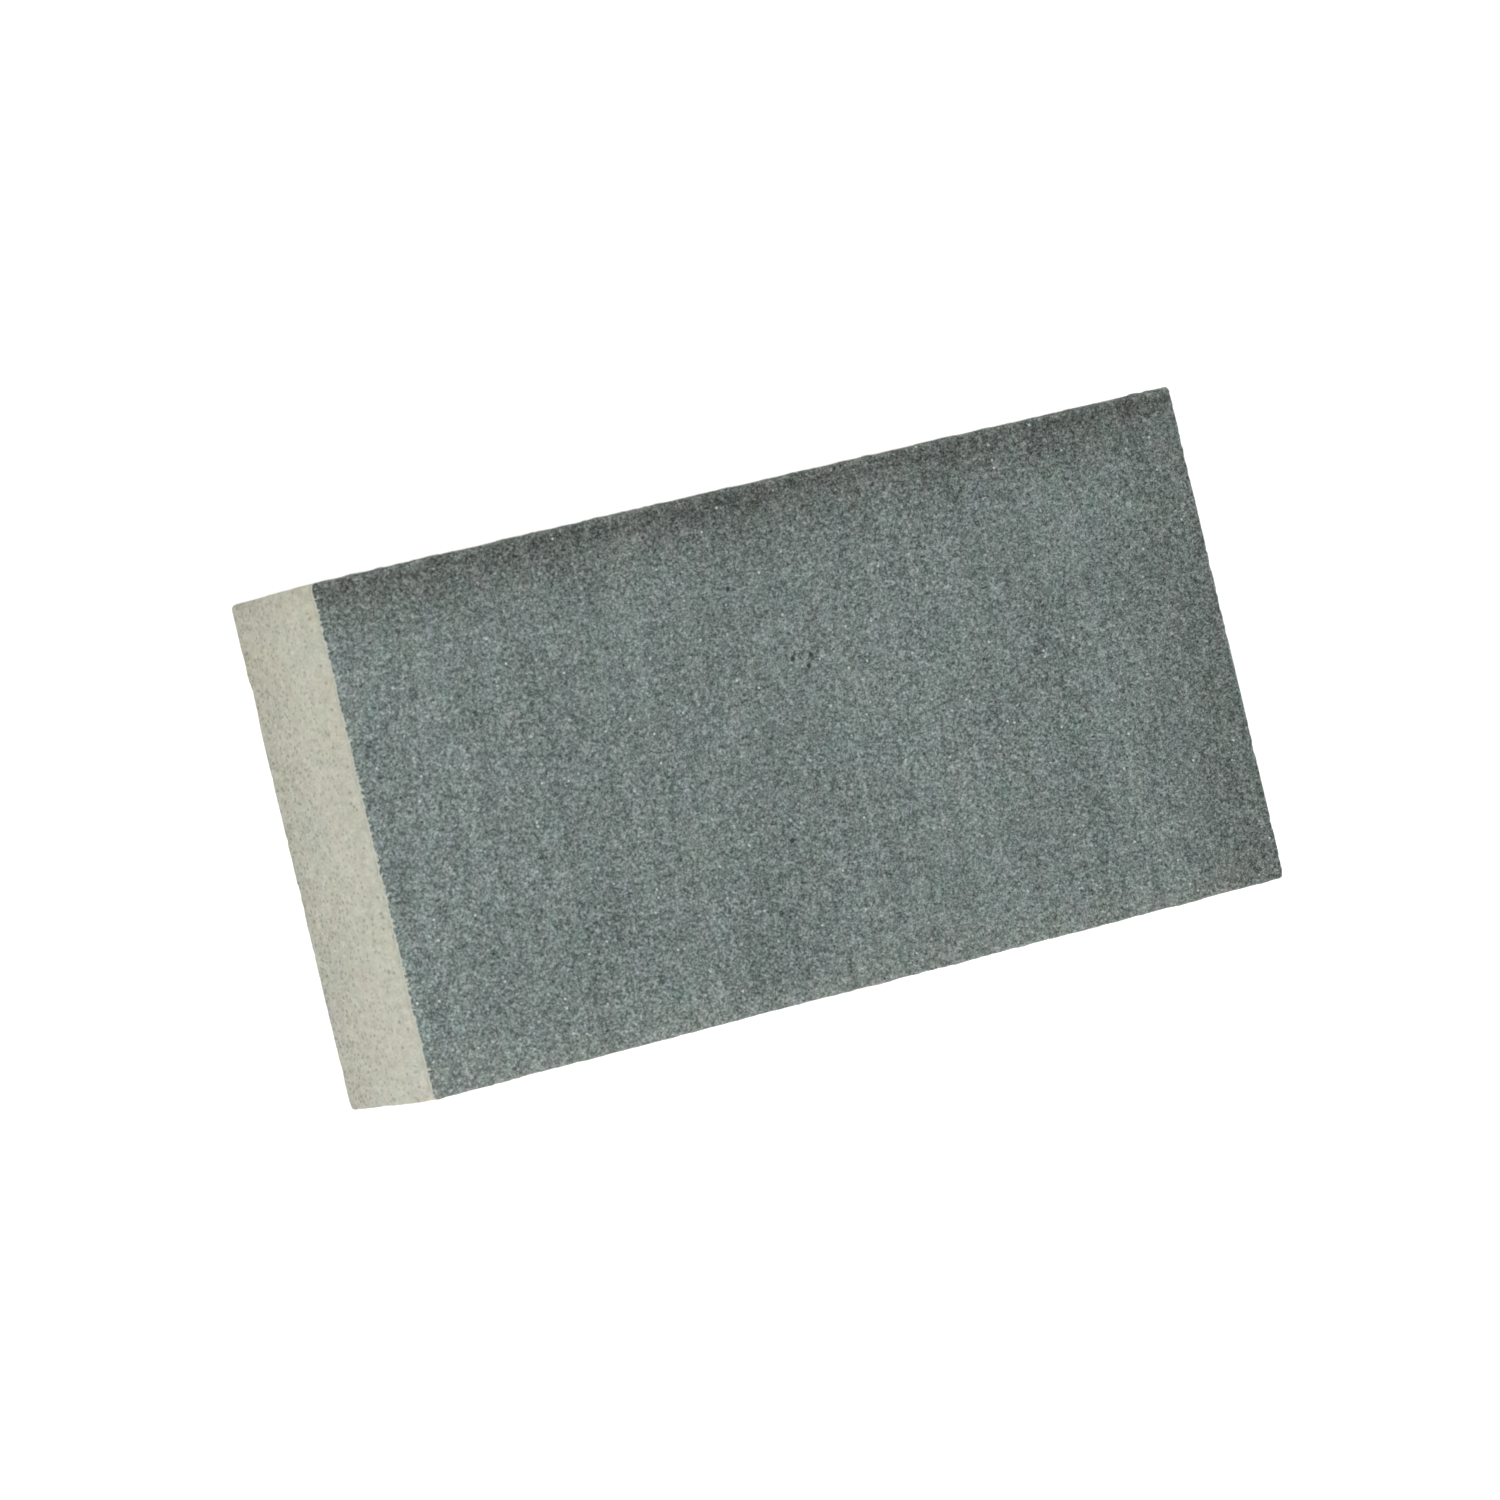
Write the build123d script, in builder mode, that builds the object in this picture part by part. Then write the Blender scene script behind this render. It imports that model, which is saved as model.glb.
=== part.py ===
from build123d import *
import os

# Bench-size sharpening whetstone, lying flat with its dark coarse face up.
# Units: mm. Origin: centre of the bottom rest face.
# +X runs along the length away from the eased end, +Y across the width, +Z up.

# Driving dimensions of the whole stone
stone_length = 95.0
stone_width = 50.0
stone_thickness = 19.0

# How the thickness is shared between the glued pieces
facing_thickness = 0.55
film_thickness = 0.10

# Edges: the facing keeps crisp arrises, apart from the end that tools run off, which is eased
corner_radius = 0.5
crisp_arris_radius = 0.5
eased_end_radius = 3.0
bottom_arris_radius = 0.5

# Heights of the two joints in the stack
film_top = stone_thickness - facing_thickness
film_bottom = film_top - film_thickness

os.makedirs("parts", exist_ok=True)

# The stone's outer form: its plan, its long section and its cross section, intersected
with BuildPart() as blank:
    with BuildSketch(Plane.XY):
        RectangleRounded(stone_length, stone_width, corner_radius)
    extrude(amount=stone_thickness)

    with BuildSketch(Plane.XZ.offset(-stone_width / 2)):
        with Locations((0, stone_thickness / 2)):
            Rectangle(stone_length, stone_thickness)
        fillet(vertices().group_by(Axis.Y)[0], radius=bottom_arris_radius)
        fillet(vertices().group_by(Axis.Y)[-1].sort_by(Axis.X)[-1], radius=crisp_arris_radius)
        fillet(vertices().group_by(Axis.Y)[-1].sort_by(Axis.X)[0], radius=eased_end_radius)
    extrude(amount=stone_width, mode=Mode.INTERSECT)

    with BuildSketch(Plane.YZ.offset(-stone_length / 2)):
        with Locations((0, stone_thickness / 2)):
            Rectangle(stone_width, stone_thickness)
        fillet(vertices().group_by(Axis.Y)[0], radius=bottom_arris_radius)
        fillet(vertices().group_by(Axis.Y)[-1], radius=crisp_arris_radius)
    extrude(amount=stone_length, mode=Mode.INTERSECT)

# Pale fine-grit stone: the body of the tool, and its underside honing face
with BuildPart() as fine_stone:
    add(blank.part)
    split(bisect_by=Plane.XY.offset(film_bottom), keep=Keep.BOTTOM)

# Cured adhesive between the two grits
with BuildPart() as bond_film:
    add(blank.part)
    split(bisect_by=Plane.XY.offset(film_bottom), keep=Keep.TOP)
    split(bisect_by=Plane.XY.offset(film_top), keep=Keep.BOTTOM)

# Thin dark coarse-grit facing: the upper honing face, rubbed through along the eased end
with BuildPart() as coarse_facing:
    add(blank.part)
    split(bisect_by=Plane.XY.offset(film_top), keep=Keep.TOP)

fine_stone.part.label = "fine_stone"
export_step(fine_stone.part, "parts/fine_stone.step")
bond_film.part.label = "bond_film"
export_step(bond_film.part, "parts/bond_film.step")
coarse_facing.part.label = "coarse_facing"
export_step(coarse_facing.part, "parts/coarse_facing.step")
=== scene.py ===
"""Sharpening whetstone: a thin dark coarse facing glued to a pale fine stone, lying flat on a pale floor.

The CAD frame gives every size. The three stone pieces are rebuilt here as dense meshes with real
relief (eased and chipped arrises, pits, grain), and each gets its own procedural material.
Lengths on the stone are millimetres until a mesh is handed to Blender, which works in metres. The floor,
the light and the camera's distance are in metres.
"""
import math

import bpy
import numpy as np
from mathutils import Matrix, Vector


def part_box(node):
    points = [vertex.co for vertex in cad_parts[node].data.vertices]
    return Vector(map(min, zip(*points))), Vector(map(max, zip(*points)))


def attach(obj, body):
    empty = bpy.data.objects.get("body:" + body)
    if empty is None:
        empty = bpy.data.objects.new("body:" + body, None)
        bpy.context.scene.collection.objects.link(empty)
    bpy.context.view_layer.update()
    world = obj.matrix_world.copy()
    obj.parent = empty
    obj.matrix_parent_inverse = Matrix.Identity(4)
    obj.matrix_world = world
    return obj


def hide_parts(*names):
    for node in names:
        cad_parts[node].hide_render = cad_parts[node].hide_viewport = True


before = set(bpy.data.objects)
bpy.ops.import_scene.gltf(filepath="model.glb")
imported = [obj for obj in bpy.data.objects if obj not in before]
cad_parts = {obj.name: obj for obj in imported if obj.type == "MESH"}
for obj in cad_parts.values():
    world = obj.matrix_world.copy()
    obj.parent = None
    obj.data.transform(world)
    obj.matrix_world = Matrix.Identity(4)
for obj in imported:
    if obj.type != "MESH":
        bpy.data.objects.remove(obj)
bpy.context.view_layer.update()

MM = 0.001
SEED = 20
X_AXIS, Y_AXIS, Z_AXIS = 0, 1, 2


# ---------------------------------------------------------------- sizes, from the frame

fine_low, fine_high = [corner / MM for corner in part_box("fine_stone")]
facing_low, facing_high = [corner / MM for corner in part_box("coarse_facing")]

half_length = (fine_high.x - fine_low.x) / 2
half_width = (fine_high.y - fine_low.y) / 2
thickness = facing_high.z
# The glue film fills the gap between the two stones
film_bottom = fine_high.z
film_top = facing_low.z
facing_thickness = thickness - film_top

# The eased end is a quarter circle that the facing's underside meets a short way in from the end face
feather_inset = facing_low.x - fine_low.x
eased_radius = feather_inset + facing_thickness + math.sqrt(2 * feather_inset * facing_thickness)
feather_x = facing_low.x

# The small roundings, as in the CAD model
crisp_radius = 0.5
bottom_radius = 0.5
corner_radius = 0.5


# ---------------------------------------------------------------- numeric noise for the relief


def hashed(ix, iy, iz, seed):
    """A repeatable number from 0 to 1 for each whole-number lattice point."""
    h = ix.astype(np.uint32) * np.uint32(73856093)
    h ^= iy.astype(np.uint32) * np.uint32(19349663)
    h ^= iz.astype(np.uint32) * np.uint32(83492791)
    h ^= np.uint32(seed * 2654435761 % 4294967296)
    h ^= h >> np.uint32(16)
    h *= np.uint32(2246822507)
    h ^= h >> np.uint32(13)
    h *= np.uint32(3266489909)
    h ^= h >> np.uint32(16)
    return h / 4294967295.0


def value_noise(points, cell, seed):
    """Smooth noise from -1 to 1 at points, with bumps about one cell (mm) across."""
    scaled = points / cell + 1000.0
    base = np.floor(scaled).astype(np.int64)
    part = scaled - base
    part = part * part * part * (part * (part * 6 - 15) + 10)
    total = np.zeros(len(points))
    for corner in range(8):
        step = np.array([corner & 1, corner >> 1 & 1, corner >> 2 & 1])
        weight = np.prod(np.where(step == 1, part, 1 - part), axis=1)
        at = base + step
        total += weight * hashed(at[:, 0], at[:, 1], at[:, 2], seed)
    return total * 2 - 1


def layered_noise(points, cell, octaves, seed):
    """Several octaves of value_noise, each half the size and half the strength of the last."""
    total = np.zeros(len(points))
    for octave in range(octaves):
        total += value_noise(points, cell / 2**octave, seed + octave) / 2**octave
    return total


def smooth_step(values, low, high):
    """0 at low, 1 at high, and smooth between."""
    t = np.clip((values - low) / (high - low), 0, 1)
    return t * t * (3 - 2 * t)


# ---------------------------------------------------------------- the stone's outline at each height

# How much closer together a grid's lines are at its edges than in its middle
EDGE_CROWDING = 0.35


def arc_inset(depth, radius):
    """How far a rounded edge stands in from its face, at a depth below the edge's other face."""
    rise = np.clip(radius - depth, 0, radius)
    return radius - np.sqrt(radius * radius - rise * rise)


def outline_at(z):
    """The stone's low x, high x and half width at height z."""
    foot = arc_inset(z, bottom_radius)
    low_x = -half_length + foot + arc_inset(thickness - z, eased_radius)
    high_x = half_length - foot - arc_inset(thickness - z, crisp_radius)
    half_y = half_width - foot - arc_inset(thickness - z, crisp_radius)
    return low_x, high_x, half_y


def edge_graded(count):
    """count + 1 places from 0 to 1, with closer steps near both ends."""
    t = np.linspace(0, 1, count + 1)
    return t - EDGE_CROWDING * np.sin(2 * math.pi * t) / (2 * math.pi)


def rounded_plan(x, y, low_x, high_x, half_y):
    """Pulls the corners of a rectangular grid in to corner_radius, as seen from above."""
    centre_x = np.clip(x, low_x + corner_radius, high_x - corner_radius)
    centre_y = np.clip(y, -half_y + corner_radius, half_y - corner_radius)
    dx, dy = x - centre_x, y - centre_y
    away = np.hypot(dx, dy)
    pull = np.where(away > 0, np.maximum(np.abs(dx), np.abs(dy)) / np.maximum(away, 1e-9), 1)
    return centre_x + dx * pull, centre_y + dy * pull


def grid_at(z, along, across):
    """A grid of points filling the outline at height z, as an array of along x across x 3."""
    low_x, high_x, half_y = outline_at(z)
    x = low_x + (high_x - low_x) * along[:, None] + np.zeros_like(across)[None, :]
    y = -half_y + 2 * half_y * across[None, :] + np.zeros_like(along)[:, None]
    x, y = rounded_plan(x, y, low_x, high_x, half_y)
    return np.stack([x, y, np.full_like(x, z)], axis=-1)


def rim_indices(rows, columns):
    """The grid's outermost points, in order round the rim, as flat indices."""
    index = np.arange(rows * columns).reshape(rows, columns)
    return np.concatenate([index[:-1, 0], index[-1, :-1], index[:0:-1, -1], index[0, :0:-1]])


def grid_quads(rows, columns, upward):
    """The quads of a grid, facing up or down."""
    index = np.arange(rows * columns).reshape(rows, columns)
    quads = np.stack([index[:-1, :-1], index[1:, :-1], index[1:, 1:], index[:-1, 1:]], axis=-1)
    quads = quads.reshape(-1, 4)
    return quads if upward else quads[:, ::-1]


def layer_mesh(heights, along, across, open_top, open_bottom):
    """Points, faces and glued faces of a closed layer of the stone.

    heights run from the bottom up. A worked face (open_top, open_bottom) is a full grid, and a face
    that is glued to the next layer is a single flat polygon.
    """
    rows, columns = len(along), len(across)
    rim = rim_indices(rows, columns)
    points, faces, rings = [], [], []
    count = 0
    for number, z in enumerate(heights):
        grid = grid_at(z, along, across).reshape(-1, 3)
        first, last = number == 0, number == len(heights) - 1
        if (first and open_bottom) or (last and open_top):
            points.append(grid)
            rings.append(count + rim)
            faces += (grid_quads(rows, columns, upward=last) + count).tolist()
            count += len(grid)
        else:
            points.append(grid[rim])
            rings.append(count + np.arange(len(rim)))
            count += len(rim)
    for lower, upper in zip(rings, rings[1:]):
        ahead_lower, ahead_upper = np.roll(lower, -1), np.roll(upper, -1)
        faces += np.stack([lower, ahead_lower, ahead_upper, upper], axis=1).tolist()
    glued = []
    if not open_top:
        glued.append(rings[-1].tolist())
    if not open_bottom:
        glued.append(rings[0][::-1].tolist())
    return np.concatenate(points), faces, glued


# ---------------------------------------------------------------- relief

# The strength of each kind of relief, in mm
WAVE_HEIGHT = 0.02
CHIP_DEPTH = 0.12
NIBBLE_DEPTH = 0.085
DENT_DEPTH = 0.11
SWAY_DEPTH = 0.08
COARSE_GRAIN_HEIGHT = 0.012
FINE_GRAIN_HEIGHT = 0.008
# How far pits keep from the two ends and from the other arrises, in mm
END_MARGIN = 3.0
ARRIS_MARGIN = 2.0


def arris_nearness(points):
    """1 on the sharp edges of the stone, falling to 0 about a millimetre away from them."""
    gap_x = half_length - np.abs(points[:, 0])
    gap_y = half_width - np.abs(points[:, 1])
    gap_z = np.minimum(points[:, 2], thickness - points[:, 2])
    second = np.sort(np.stack([gap_x, gap_y, gap_z], axis=1), axis=1)[:, 1]
    return 1 - smooth_step(second, 0.1, 1.2)


def pit_depth(points, places, radii, depths):
    """How deep shallow round pits cut in at each point."""
    depth = np.zeros(len(points))
    for place, radius, deep in zip(places, radii, depths):
        near = np.abs(points - place).max(axis=1) < radius * 1.6
        gap = np.linalg.norm(points[near] - place, axis=1) / radius
        ragged = 1 + 0.25 * value_noise(points[near], cell=radius * 0.6, seed=SEED + 50)
        depth[near] = np.maximum(depth[near], deep * (1 - smooth_step(gap * ragged, 0.35, 1.25)))
    return depth


def face_pits(count, axis, level, seed):
    """Random pits on the face that lies at level along axis: their places, radii and depths."""
    centre = np.array([0, 0, thickness / 2])
    reach = np.array([half_length - END_MARGIN, half_width - ARRIS_MARGIN, thickness / 2 - ARRIS_MARGIN])
    draw = np.random.RandomState(seed)
    places = draw.uniform(centre - reach, centre + reach, size=(count, 3))
    places[:, axis] = level
    radii = draw.uniform(0.25, 0.6, count) ** 1.3
    return places, radii, radii * draw.uniform(0.25, 0.45, count)


def vertex_normals(mesh):
    """Every vertex's normal as an array."""
    normals = np.zeros(len(mesh.vertices) * 3, np.float32)
    mesh.vertex_normals.foreach_get("vector", normals)
    return normals.reshape(-1, 3).astype(float)


def relief(points, grain_height, pits):
    """How far each point stands out from the CAD surface, in mm."""
    wave = WAVE_HEIGHT * layered_noise(points, cell=14.0, octaves=2, seed=SEED)
    grain = grain_height * layered_noise(points, cell=0.55, octaves=2, seed=SEED + 5)
    chip_noise = layered_noise(points, cell=1.5, octaves=3, seed=SEED + 9)
    chips = CHIP_DEPTH * smooth_step(chip_noise, 0.6, 1.3)
    nibble = NIBBLE_DEPTH * layered_noise(points, cell=0.6, octaves=2, seed=SEED + 14)
    dents = DENT_DEPTH * value_noise(points, cell=1.5, seed=SEED + 17)
    sway = SWAY_DEPTH * value_noise(points, cell=5.0, seed=SEED + 18)
    depth = arris_nearness(points) * (chips + nibble + dents + sway)
    # A piece with pits also stops bulging past its arrises, since pit_depth is 0 away from the pits
    for places, radii, depths in pits:
        depth = np.maximum(depth, pit_depth(points, places, radii, depths))
    return wave + grain - depth


def feather_teeth(points):
    """How far the facing's thin leading edge has broken back, in mm, where grains have come away."""
    leading = 1 - smooth_step(points[:, 0] - feather_x, 0.0, 0.9)
    ragged = layered_noise(points * [0.4, 1, 1], cell=0.5, octaves=2, seed=SEED + 21)
    return leading * (0.05 + 0.1 * ragged)


def build_piece(name, node, heights, grid, open_top, open_bottom, grain_height, pits):
    """One stone piece as a dense closed mesh with relief, standing for its CAD node.

    grid is how many steps its grids have along and across the stone.
    """
    along, across = edge_graded(grid[0]), edge_graded(grid[1])
    points, faces, glued = layer_mesh(heights, along, across, open_top, open_bottom)
    mesh = bpy.data.meshes.new(name)
    mesh.from_pydata((points * MM).tolist(), [], faces + glued)
    mesh.update()
    normals = vertex_normals(mesh)
    # Points round a glued face move only sideways, so that the layers still meet
    on_glue = np.zeros(len(points), bool)
    on_glue[[index for polygon in glued for index in polygon]] = True
    normals[on_glue, 2] = 0
    length = np.linalg.norm(normals, axis=1, keepdims=True)
    normals /= np.maximum(length, 1e-9)
    points = points + normals * relief(points, grain_height, pits)[:, None]
    near_glue = smooth_step(points[:, 2], film_bottom - 0.3, film_bottom)
    points[:, 0] += feather_teeth(points) * near_glue * (points[:, 0] < -half_length / 2)
    mesh.vertices.foreach_set("co", (points * MM).ravel())
    smooth = np.ones(len(mesh.polygons), bool)
    if glued:
        smooth[-len(glued):] = False
    mesh.polygons.foreach_set("use_smooth", smooth)
    mesh.update()
    piece = bpy.data.objects.new(name, mesh)
    bpy.context.scene.collection.objects.link(piece)
    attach(piece, "root")
    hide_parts(node)
    return piece


# ---------------------------------------------------------------- material building blocks

# Light raised to 1 / EYE_GAMMA takes even steps where the eye sees even steps
EYE_GAMMA = 2.2


class Graph:
    """Adds and links shader nodes for one material. Values may be numbers, colours or sockets."""

    def __init__(self, name):
        self.material = bpy.data.materials.new(name)
        self.material.use_nodes = True
        self.tree = self.material.node_tree
        self.tree.nodes.clear()
        place = self.add("ShaderNodeTexCoord").outputs["Object"]
        scale = self.add("ShaderNodeVectorMath", operation="SCALE")
        self.put(scale.inputs[0], place)
        scale.inputs["Scale"].default_value = 1 / MM
        self.place = scale.outputs[0]

    def add(self, kind, **settings):
        """A new node of a kind, with its settings."""
        node = self.tree.nodes.new(kind)
        for key, value in settings.items():
            setattr(node, key, value)
        return node

    def put(self, socket, value):
        """Links a socket to an input, or gives the input a plain value."""
        if isinstance(value, bpy.types.NodeSocket):
            self.tree.links.new(value, socket)
        else:
            socket.default_value = value

    def math(self, operation, a, b=0.0):
        """One arithmetic step."""
        node = self.add("ShaderNodeMath", operation=operation)
        self.put(node.inputs[0], a)
        self.put(node.inputs[1], b)
        return node.outputs[0]

    def total(self, *values):
        """The sum of the values."""
        result = values[0]
        for value in values[1:]:
            result = self.math("ADD", result, value)
        return result

    def axes(self):
        """The place's x, y and z, in mm."""
        node = self.add("ShaderNodeSeparateXYZ")
        self.put(node.inputs[0], self.place)
        return node.outputs

    def stretched(self, sizes):
        """The place, measured in a different unit along each axis, and moved off the origin."""
        node = self.add("ShaderNodeVectorMath", operation="MULTIPLY_ADD")
        self.put(node.inputs[0], self.place)
        node.inputs[1].default_value = [1 / size for size in sizes]
        node.inputs[2].default_value = (37.3, 11.9, 53.1)
        return node.outputs[0]

    def noise(self, size, detail=1.0, roughness=0.5):
        """Smooth noise centred on 0, mostly between -0.5 and 0.5. size is in mm, or one size per axis."""
        sizes = size if isinstance(size, tuple) else (size, size, size)
        node = self.add("ShaderNodeTexNoise", noise_dimensions="3D")
        self.put(node.inputs["Vector"], self.stretched(sizes))
        node.inputs["Scale"].default_value = 1.0
        node.inputs["Detail"].default_value = detail
        node.inputs["Roughness"].default_value = roughness
        return self.math("SUBTRACT", node.outputs["Fac"], 0.5)

    def cells(self, size):
        """Cells about size mm wide: the distance to the cell's centre, in cells, and its random number."""
        node = self.add("ShaderNodeTexVoronoi", voronoi_dimensions="3D", feature="F1")
        self.put(node.inputs["Vector"], self.stretched((size, size, size)))
        node.inputs["Scale"].default_value = 1.0
        split = self.add("ShaderNodeSeparateColor")
        self.put(split.inputs[0], node.outputs["Color"])
        return node.outputs["Distance"], split.outputs[0]

    def ramp(self, value, low, high, start=0.0, end=1.0):
        """start where value is at most low, end where it is at least high, and smooth between."""
        node = self.add("ShaderNodeMapRange", interpolation_type="SMOOTHSTEP", clamp=True)
        self.put(node.inputs["Value"], value)
        for socket, number in zip(("From Min", "From Max", "To Min", "To Max"), (low, high, start, end)):
            self.put(node.inputs[socket], number)
        return node.outputs["Result"]

    def specks(self, size, share, radius):
        """A mask of scattered round specks: share of the cells hold one, radius is in cells."""
        distance, pick = self.cells(size)
        chosen = self.math("LESS_THAN", pick, share)
        return self.math("MULTIPLY", chosen, self.ramp(distance, radius * 0.6, radius, 1.0, 0.0))

    def mix(self, factor, a, b):
        """Colour a where factor is 0 and colour b where it is 1."""
        node = self.add("ShaderNodeMix", data_type="RGBA")
        self.put(node.inputs["Factor"], factor)
        self.put(node.inputs["A"], a)
        self.put(node.inputs["B"], b)
        return node.outputs["Result"]

    def scaled(self, colour, amount):
        """colour times amount."""
        node = self.add("ShaderNodeVectorMath", operation="SCALE")
        self.put(node.inputs[0], colour)
        self.put(node.inputs["Scale"], amount)
        return node.outputs[0]

    def tinted(self, colour, amount, shift):
        """colour with each channel pushed by amount times its share of shift."""
        push = self.add("ShaderNodeVectorMath", operation="SCALE")
        push.inputs[0].default_value = shift
        self.put(push.inputs["Scale"], amount)
        add = self.add("ShaderNodeVectorMath", operation="MULTIPLY_ADD")
        self.put(add.inputs[0], colour)
        self.put(add.inputs[1], push.outputs[0])
        self.put(add.inputs[2], colour)
        return add.outputs[0]

    def weighted(self, *pairs):
        """The sum of value times weight over the pairs."""
        return self.total(*[self.math("MULTIPLY", value, weight) for value, weight in pairs])

    def shade(self, value):
        """The share of light given back: 1 where value is 0, and even steps to the eye either side."""
        seen = self.math("ADD", 1.0, self.math("DIVIDE", value, EYE_GAMMA))
        return self.math("POWER", self.math("MAXIMUM", seen, 0.05), EYE_GAMMA)

    def spot(self, x, y, radius):
        """A mask of one small round mark on the top face, centred at x and y."""
        gap = self.add("ShaderNodeVectorMath", operation="DISTANCE")
        self.put(gap.inputs[0], self.place)
        gap.inputs[1].default_value = (x, y, thickness)
        return self.ramp(gap.outputs["Value"], radius * 0.6, radius, 1.0, 0.0)

    def constant(self, colour):
        """A plain colour as a socket."""
        node = self.add("ShaderNodeRGB")
        node.outputs[0].default_value = colour
        return node.outputs[0]

    def finish(self, colour, roughness, height, bump_strength, specular, glow=0.0):
        """Joins everything to a Principled surface. height is in mm, and glow is the light it gives off."""
        bump = self.add("ShaderNodeBump")
        bump.inputs["Strength"].default_value = bump_strength
        bump.inputs["Distance"].default_value = MM
        self.put(bump.inputs["Height"], height)
        surface = self.add("ShaderNodeBsdfPrincipled")
        self.put(surface.inputs["Base Color"], colour)
        self.put(surface.inputs["Roughness"], roughness)
        self.put(surface.inputs["Specular IOR Level"], specular)
        self.put(surface.inputs["Normal"], bump.outputs[0])
        surface.inputs["Emission Strength"].default_value = glow
        output = self.add("ShaderNodeOutputMaterial")
        self.put(output.inputs["Surface"], surface.outputs[0])
        return self.material


# ---------------------------------------------------------------- materials

PALE = (0.34, 0.34, 0.285, 1)
# The pale stone where it shows at the glue line and the eased end, made lighter with the painted light of the
# fine stone's top arris
PALE_LIT = (0.405, 0.42, 0.36, 1)
DARK = (0.139, 0.171, 0.161, 1)
DARK_NEUTRAL = (0.148, 0.17, 0.157, 1)
# Painted glints on glossier specks of the facing
SPARKLE = (0.53, 0.57, 0.55, 1)
# Painted shade inside the pores of both stones
PORE_SHADE = (0.03, 0.035, 0.034, 1)
PALE_PORE_SHADE = (0.13, 0.125, 0.1, 1)
FLOOR_WHITE = (0.93, 0.93, 0.93, 1)
# How much each channel changes for a unit of noise
GREYER = (0.08, 0.0, 0.03)
PURPLER = (0.13, -0.12, 0.03)
BROWNER = (0.09, 0.0, -0.11)
BROWNER_PALE = (0.03, -0.015, -0.16)
PURPLER_PALE = (0.1, -0.06, 0.01)
# Where the facing's few open pores are on its upper face, as x and y
OPEN_PORES = [(0.5, 7.5), (2.0, 6.5), (2.5, 7.5), (-4.0, -9.5), (-4.5, 15.5)]


def coarse_grain(g):
    """The facing's grains as tone and as height, with soft patches and faint streaks across the width."""
    _, cell_number = g.cells(0.33)
    grain_tone = g.math("SUBTRACT", cell_number, 0.5)
    soft_grain = g.noise(0.3, detail=1.5, roughness=0.6)
    tone = g.weighted(
        (grain_tone, 0.55),
        (soft_grain, 2.4),
        (g.noise(0.15, detail=1.0), 3.5),
        (g.noise(1.6, detail=2.0, roughness=0.55), 0.25),
        (g.noise((1.1, 12.0, 12.0), detail=3.0, roughness=0.6), 0.64),
    )
    return tone, g.weighted((grain_tone, 0.03), (soft_grain, 0.12))


def coarse_shading(g, x, y):
    """The facing's broad light and dark, with painted shade and light at its edges, and a mask of its greyer
    rim.
    """
    clouds = g.noise(9.0, detail=2.0)
    bands = g.noise((6.0, 60.0, 60.0), detail=2.0, roughness=0.7)
    # Painted shade: darker towards the far long edge and the far end, where the light falls away
    shaded_far_edge = g.total(
        g.ramp(y, half_width - 9.0, half_width, 0.0, 0.36),
        g.ramp(y, half_width - 3.2, half_width - 1.2, 0.0, 0.17),
    )
    shaded_far_end = g.ramp(x, half_length - 14.0, half_length, 0.0, 0.2)
    shaded_far_sides = g.math("MAXIMUM", shaded_far_edge, shaded_far_end)
    # Painted light: lighter along the near long edge, which faces the light
    lit_near_edge = g.ramp(y, -half_width, 5.0 - half_width, 0.09, 0.0)
    eased_end = g.ramp(x, feather_x, feather_x + 0.8, 0.12, 0.0)
    # The arrises are lighter, partly from wear and partly from a painted sheen
    worn_and_sheen_arris = g.math(
        "MAXIMUM",
        g.ramp(y, half_width - 0.9, half_width - 0.1, 0.0, 0.4),
        g.ramp(x, half_length - 0.6, half_length, 0.0, 0.35),
    )
    lighter = g.total(g.weighted((clouds, 0.25), (bands, 0.43)), lit_near_edge, worn_and_sheen_arris)
    darker = g.math("ADD", shaded_far_sides, eased_end)
    # The greyer rim follows the painted shade and light at the edges
    rim = g.math("MINIMUM", g.weighted((shaded_far_sides, 2.5), (lit_near_edge, 9.0)), 1.0)
    return g.math("SUBTRACT", lighter, darker), rim


def coarse_pores(g):
    """A mask of the facing's pores: small ones everywhere, and a few open ones."""
    pores = g.specks(0.8, 0.035, 0.2)
    for x_mark, y_mark in OPEN_PORES:
        pores = g.math("MAXIMUM", pores, g.spot(x_mark, y_mark, 0.3))
    return pores


def worn_through(g, x):
    """A mask of where the facing thins to nothing at the eased end, ragged from grain to grain."""
    from_edge = g.math("SUBTRACT", x, feather_x)
    ragged_edge = g.math("ADD", 0.04, g.math("MULTIPLY", g.noise(0.3, detail=1.0), 1.3))
    return g.ramp(g.math("SUBTRACT", from_edge, ragged_edge), -0.03, 0.03, 1.0, 0.0)


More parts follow.
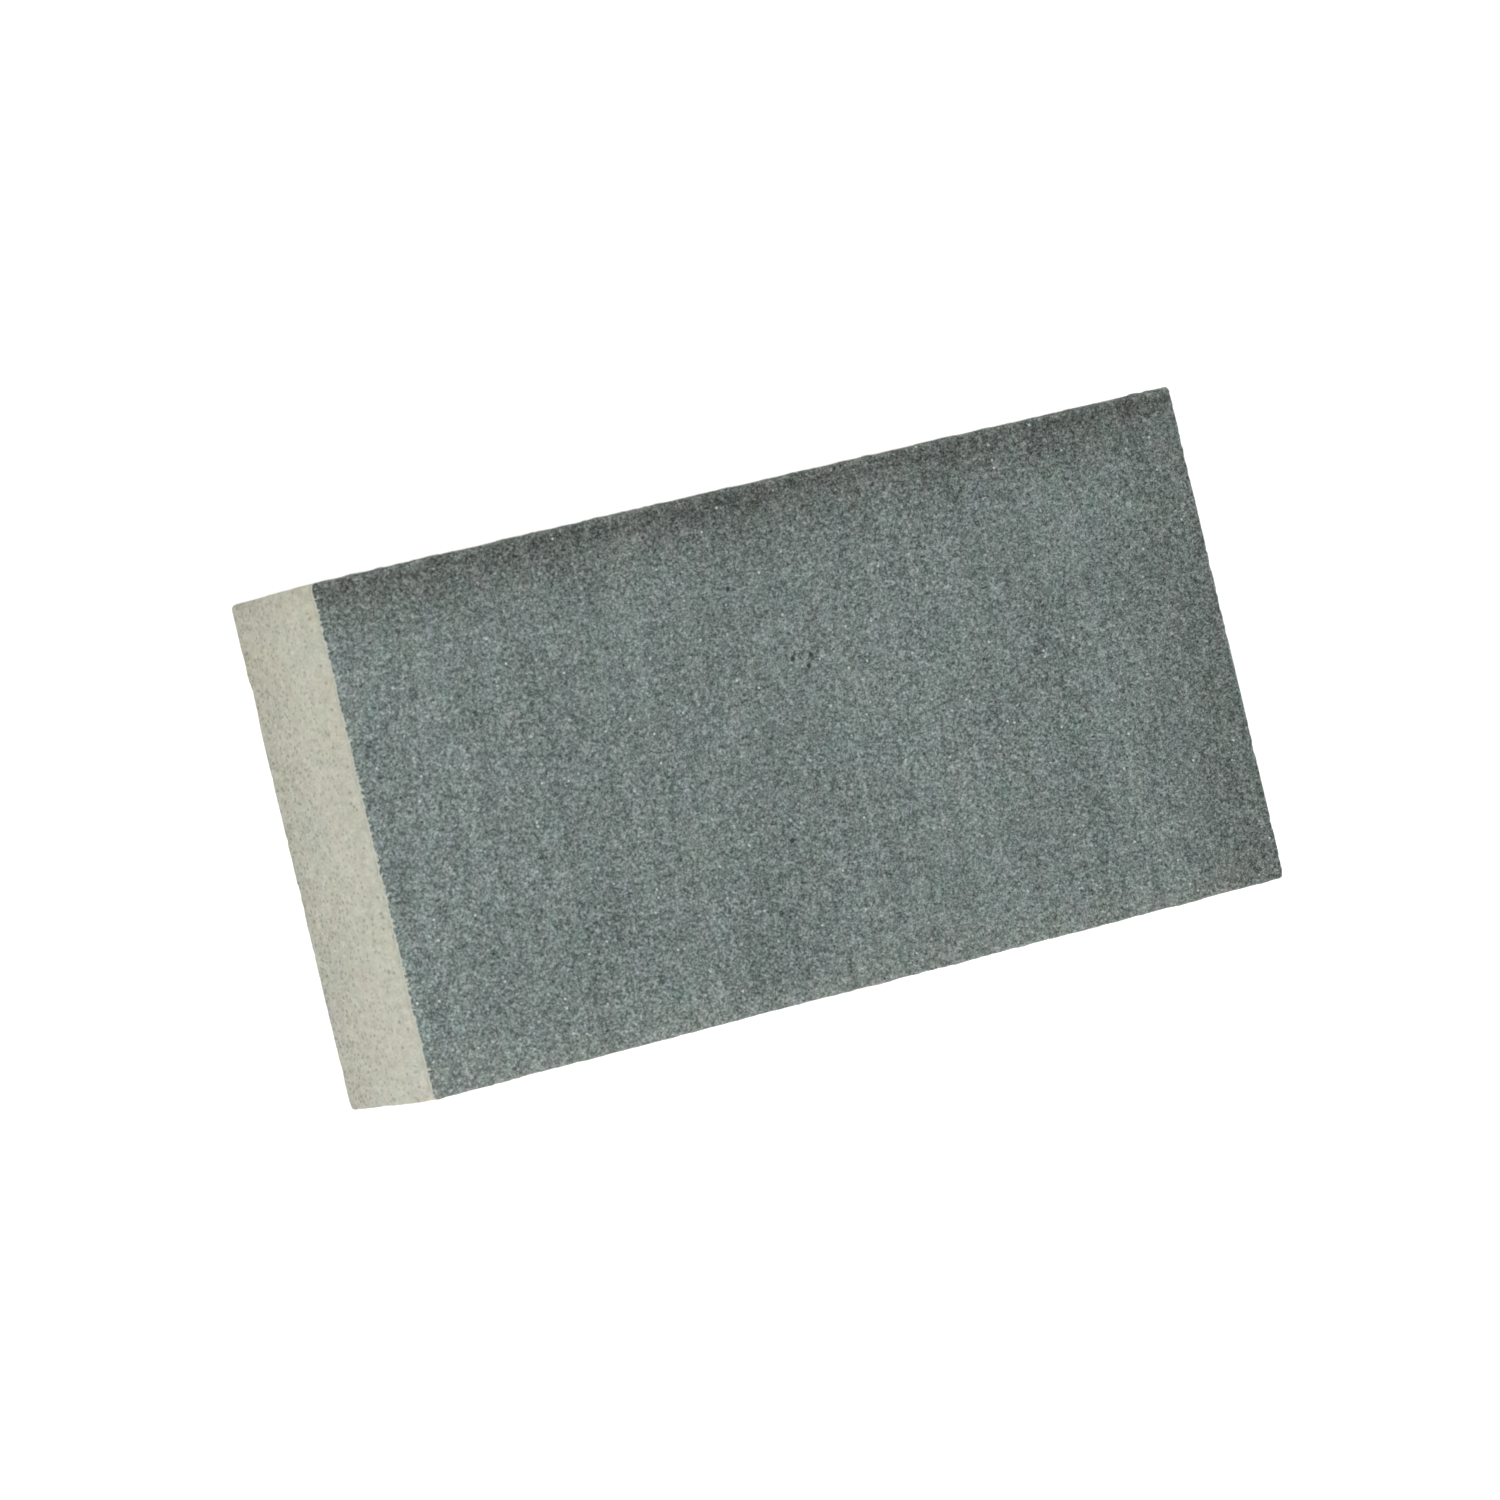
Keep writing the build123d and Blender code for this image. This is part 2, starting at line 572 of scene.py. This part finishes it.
def coarse_grit():
    """Dark green-grey silicon carbide, with painted glints, shaded pores, and pale stone showing at the eased
    end.
    """
    g = Graph("coarse_grit")
    x, y, _ = g.axes()
    grain, grain_height = coarse_grain(g)
    shading, rim = coarse_shading(g, x, y)
    body = g.mix(rim, DARK, DARK_NEUTRAL)
    body = g.tinted(body, g.noise((2.0, 4.0, 4.0), detail=2.0, roughness=0.6), PURPLER)
    body = g.tinted(body, g.noise((2.6, 5.0, 5.0), detail=2.0, roughness=0.6), BROWNER)
    body = g.tinted(body, grain, GREYER)
    # shading carries the painted shade and light of the edges
    colour = g.scaled(body, g.shade(g.math("ADD", grain, shading)))
    # Painted glints: bright specks in the colour, on specks that are also glossier
    sparkles = g.specks(0.7, 0.055, 0.21)
    colour = g.mix(sparkles, colour, SPARKLE)
    pores = coarse_pores(g)
    # Painted shade in the pores
    colour = g.mix(pores, colour, PORE_SHADE)
    # Pale stone showing through, in a colour that carries painted light
    colour = g.mix(worn_through(g, x), colour, PALE_LIT)
    height = g.total(grain_height, g.math("MULTIPLY", pores, -0.06))
    roughness = g.math("SUBTRACT", 0.82, g.math("MULTIPLY", sparkles, 0.45))
    return g.finish(colour, roughness, height, bump_strength=0.8, specular=0.35)


def fine_shading(g, y, z):
    """The fine stone's broad light and dark: painted shade towards the foot and the far side, painted light
    on the top arris, and a far corner lighter from wear and a painted sheen.
    """
    # Painted shade: darker towards the foot, where less light reaches, and towards the far side
    shaded_foot = g.ramp(z, 0.0, thickness * 0.85, 0.125, 0.0)
    shaded_far_side = g.ramp(y, half_width - 3.0, half_width, 0.0, 0.08)
    # Lighter at the far corner, partly from wear and partly from a painted sheen
    worn_and_sheen_corner = g.ramp(y, half_width - 0.6, half_width, 0.0, 0.2)
    # Painted light: lighter up the arris to the glue line
    lit_top_arris = g.ramp(z, thickness - 0.6 * eased_radius, film_bottom, 0.0, 0.105)
    lighter = g.math("ADD", lit_top_arris, worn_and_sheen_corner)
    return g.math("SUBTRACT", lighter, g.math("ADD", shaded_foot, shaded_far_side))


def fine_grit():
    """Pale grey-beige fine stone: close even grain, tiny pores with painted shade, faint warm mottling."""
    g = Graph("fine_grit")
    _, y, z = g.axes()
    # The grain is open at the foot and rubbed close towards the top
    openness = g.ramp(z, 0.0, thickness * 0.8, 1.35, 0.87)
    grain = g.noise(0.3, detail=2.0, roughness=0.6)
    close = g.noise(0.15, detail=1.0)
    patches = g.noise(0.9, detail=2.0, roughness=0.5)
    clouds = g.noise(9.0, detail=3.0, roughness=0.55)
    even = g.weighted((grain, 0.64), (close, 0.65), (patches, 0.52), (clouds, 0.1))
    brightness = g.shade(g.math("ADD", g.math("MULTIPLY", even, openness), fine_shading(g, y, z)))
    warmth = g.total(g.noise(3.0, detail=2.0, roughness=0.6), g.ramp(y, 0.0, half_width, 0.0, 0.2))
    colour = g.tinted(g.constant(PALE), warmth, BROWNER_PALE)
    colour = g.tinted(colour, g.noise(4.0, detail=2.0, roughness=0.5), PURPLER_PALE)
    colour = g.scaled(colour, brightness)
    pores = g.math("MAXIMUM", g.specks(0.6, 0.35, 0.32), g.specks(1.0, 0.2, 0.24))
    pore_strength = g.math("MULTIPLY", openness, 0.62)
    # Painted shade in the pores, stronger where the grain is open
    colour = g.mix(g.math("MULTIPLY", pores, pore_strength), colour, PALE_PORE_SHADE)
    height = g.weighted((grain, 0.06), (close, 0.02), (pores, -0.05))
    return g.finish(colour, 0.9, height, bump_strength=0.7, specular=0.25)


def cured_adhesive():
    """Clear glue line over the pale stone, with specks of both grits in it."""
    g = Graph("cured_adhesive")
    grain = g.noise(0.25, detail=2.0)
    # The glue's pale colour carries painted light
    colour = g.scaled(g.constant(PALE_LIT), g.math("ADD", 1.0, g.math("MULTIPLY", grain, 0.5)))
    return g.finish(colour, 0.7, g.math("MULTIPLY", grain, 0.03), bump_strength=0.5, specular=0.3)


def floor_paint():
    """Pale studio floor with the faintest mottling."""
    g = Graph("floor_paint")
    mottling = g.math("ADD", 1.0, g.math("MULTIPLY", g.noise(60.0), 0.01))
    colour = g.scaled(g.constant(FLOOR_WHITE), mottling)
    return g.finish(colour, 0.9, 0.0, bump_strength=0.0, specular=0.1, glow=0.58)


# ---------------------------------------------------------------- the stone

# Grid steps along and across the stone: the two thin layers, and the fine stone
THIN_GRID = 340, 196
FINE_GRID = 220, 190


def eased_heights(low, high, steps):
    """Heights from low to high, spaced evenly round the eased end's arc where they lie on it."""
    arc_foot = thickness - eased_radius
    start = math.asin(np.clip((low - arc_foot) / eased_radius, 0, 1))
    end = math.asin(np.clip((high - arc_foot) / eased_radius, 0, 1))
    return arc_foot + eased_radius * np.sin(np.linspace(start, end, steps + 1))


def build_coarse_facing():
    """The dark facing: a full grid on top, down its arrises to the glue line."""
    heights = eased_heights(film_top, thickness, 11)
    pits = [face_pits(46, Z_AXIS, thickness, SEED + 60)]
    piece = build_piece(
        "coarse_facing_stone",
        "coarse_facing",
        heights,
        THIN_GRID,
        open_top=True,
        open_bottom=False,
        grain_height=COARSE_GRAIN_HEIGHT,
        pits=pits,
    )
    piece.data.materials.append(coarse_grit())


def build_bond_line():
    """The glue between the stones: a hairline round the sides, in places squeezed out a little."""
    piece = build_piece(
        "bond_line",
        "bond_film",
        eased_heights(film_bottom, film_top, 1),
        THIN_GRID,
        open_top=False,
        open_bottom=False,
        grain_height=COARSE_GRAIN_HEIGHT,
        pits=[],
    )
    piece.data.materials.append(cured_adhesive())


def build_fine_stone():
    """The pale stone: underside grid, foot arris, walls, and the eased arris up to the glue line."""
    foot = bottom_radius * (1 - np.cos(np.linspace(0, math.pi / 2, 6)))
    arc_foot = thickness - eased_radius
    wall = np.linspace(bottom_radius, arc_foot, 36)[1:]
    arc = eased_heights(arc_foot, film_bottom, 10)[1:]
    pits = [
        face_pits(10, X_AXIS, -half_length, SEED + 61),
        face_pits(10, X_AXIS, half_length, SEED + 62),
        face_pits(18, Y_AXIS, -half_width, SEED + 63),
        face_pits(18, Y_AXIS, half_width, SEED + 64),
        face_pits(40, Z_AXIS, 0.0, SEED + 65),
    ]
    piece = build_piece(
        "fine_stone_body",
        "fine_stone",
        np.concatenate([foot, wall, arc]),
        FINE_GRID,
        open_top=False,
        open_bottom=True,
        grain_height=FINE_GRAIN_HEIGHT,
        pits=pits,
    )
    piece.data.materials.append(fine_grit())


build_fine_stone()
build_bond_line()
build_coarse_facing()


# ---------------------------------------------------------------- floor, light and camera

stone_centre = Vector((0, 0, thickness / 2)) * MM


def build_floor():
    """A large pale floor, just under the stone's lowest grains."""
    reach = 4.0
    gap = 0.0002
    corners = [(-reach, -reach, 0), (reach, -reach, 0), (reach, reach, 0), (-reach, reach, 0)]
    mesh = bpy.data.meshes.new("floor")
    mesh.from_pydata(corners, [], [(0, 1, 2, 3)])
    mesh.materials.append(floor_paint())
    floor = bpy.data.objects.new("floor", mesh)
    floor.location.z = -gap
    bpy.context.scene.collection.objects.link(floor)


def build_world(strength):
    """Even white light from all round, in front of a backdrop that the camera sees as white."""
    world = bpy.data.worlds.new("studio")
    world.use_nodes = True
    tree = world.node_tree
    background = tree.nodes["Background"]
    background.inputs["Color"].default_value = (1, 1, 1, 1)
    light_path = tree.nodes.new("ShaderNodeLightPath")
    brightness = tree.nodes.new("ShaderNodeMapRange")
    brightness.inputs["To Min"].default_value = strength
    brightness.inputs["To Max"].default_value = 1.0
    tree.links.new(light_path.outputs["Is Camera Ray"], brightness.inputs["Value"])
    tree.links.new(brightness.outputs["Result"], background.inputs["Strength"])
    bpy.context.scene.world = world


def aimed(position, target, roll=0.0):
    """The matrix of an object at position that looks at target, turned clockwise by roll radians."""
    back = (Vector(position) - Vector(target)).normalized()
    right = Vector((0, 0, 1)).cross(back).normalized()
    up = back.cross(right)
    turned = Matrix((right, up, back)).transposed() @ Matrix.Rotation(roll, 3, "Z")
    return Matrix.Translation(Vector(position)) @ turned.to_4x4()


def placed(target, azimuth, elevation, distance):
    """A point at a distance from target, in a direction given in degrees."""
    turn, lift = math.radians(azimuth), math.radians(elevation)
    direction = Vector((math.cos(lift) * math.cos(turn), math.cos(lift) * math.sin(turn), math.sin(lift)))
    return Vector(target) + direction * distance


def build_softbox(name, azimuth, elevation, distance, size, power):
    """A square soft light aimed at the stone."""
    light = bpy.data.lights.new(name, "AREA")
    light.size = size
    light.energy = power
    lamp = bpy.data.objects.new(name, light)
    lamp.matrix_world = aimed(placed(stone_centre, azimuth, elevation, distance), stone_centre)
    bpy.context.scene.collection.objects.link(lamp)


def build_camera():
    """A long lens above the pale end, turned so that the stone runs up to the right.

    It is focused a little behind the stone, so that grains and outline are as soft as through a real lens.
    """
    camera_aim = Vector((-1.77, -0.24, thickness / 2)) * MM
    focus_point = Vector((20.0, 0.0, -90.0)) * MM
    position = placed(camera_aim, azimuth=177.6, elevation=65.17, distance=0.7964)
    roll = math.radians(78.81)
    data = bpy.data.cameras.new("camera")
    data.sensor_width = 36.0
    data.lens = 196.2
    data.clip_start = 0.05
    focus = bpy.data.objects.new("focus", None)
    focus.location = focus_point
    bpy.context.scene.collection.objects.link(focus)
    data.dof.use_dof = True
    data.dof.focus_object = focus
    data.dof.aperture_fstop = 150.0
    camera = bpy.data.objects.new("camera", data)
    camera.matrix_world = aimed(position, camera_aim, roll)
    bpy.context.scene.collection.objects.link(camera)
    bpy.context.scene.camera = camera


bpy.context.scene.view_settings.view_transform = "Standard"
build_floor()
build_world(strength=0.72)
build_softbox("key", azimuth=212, elevation=50, distance=0.42, size=0.3, power=1.1)
build_camera()
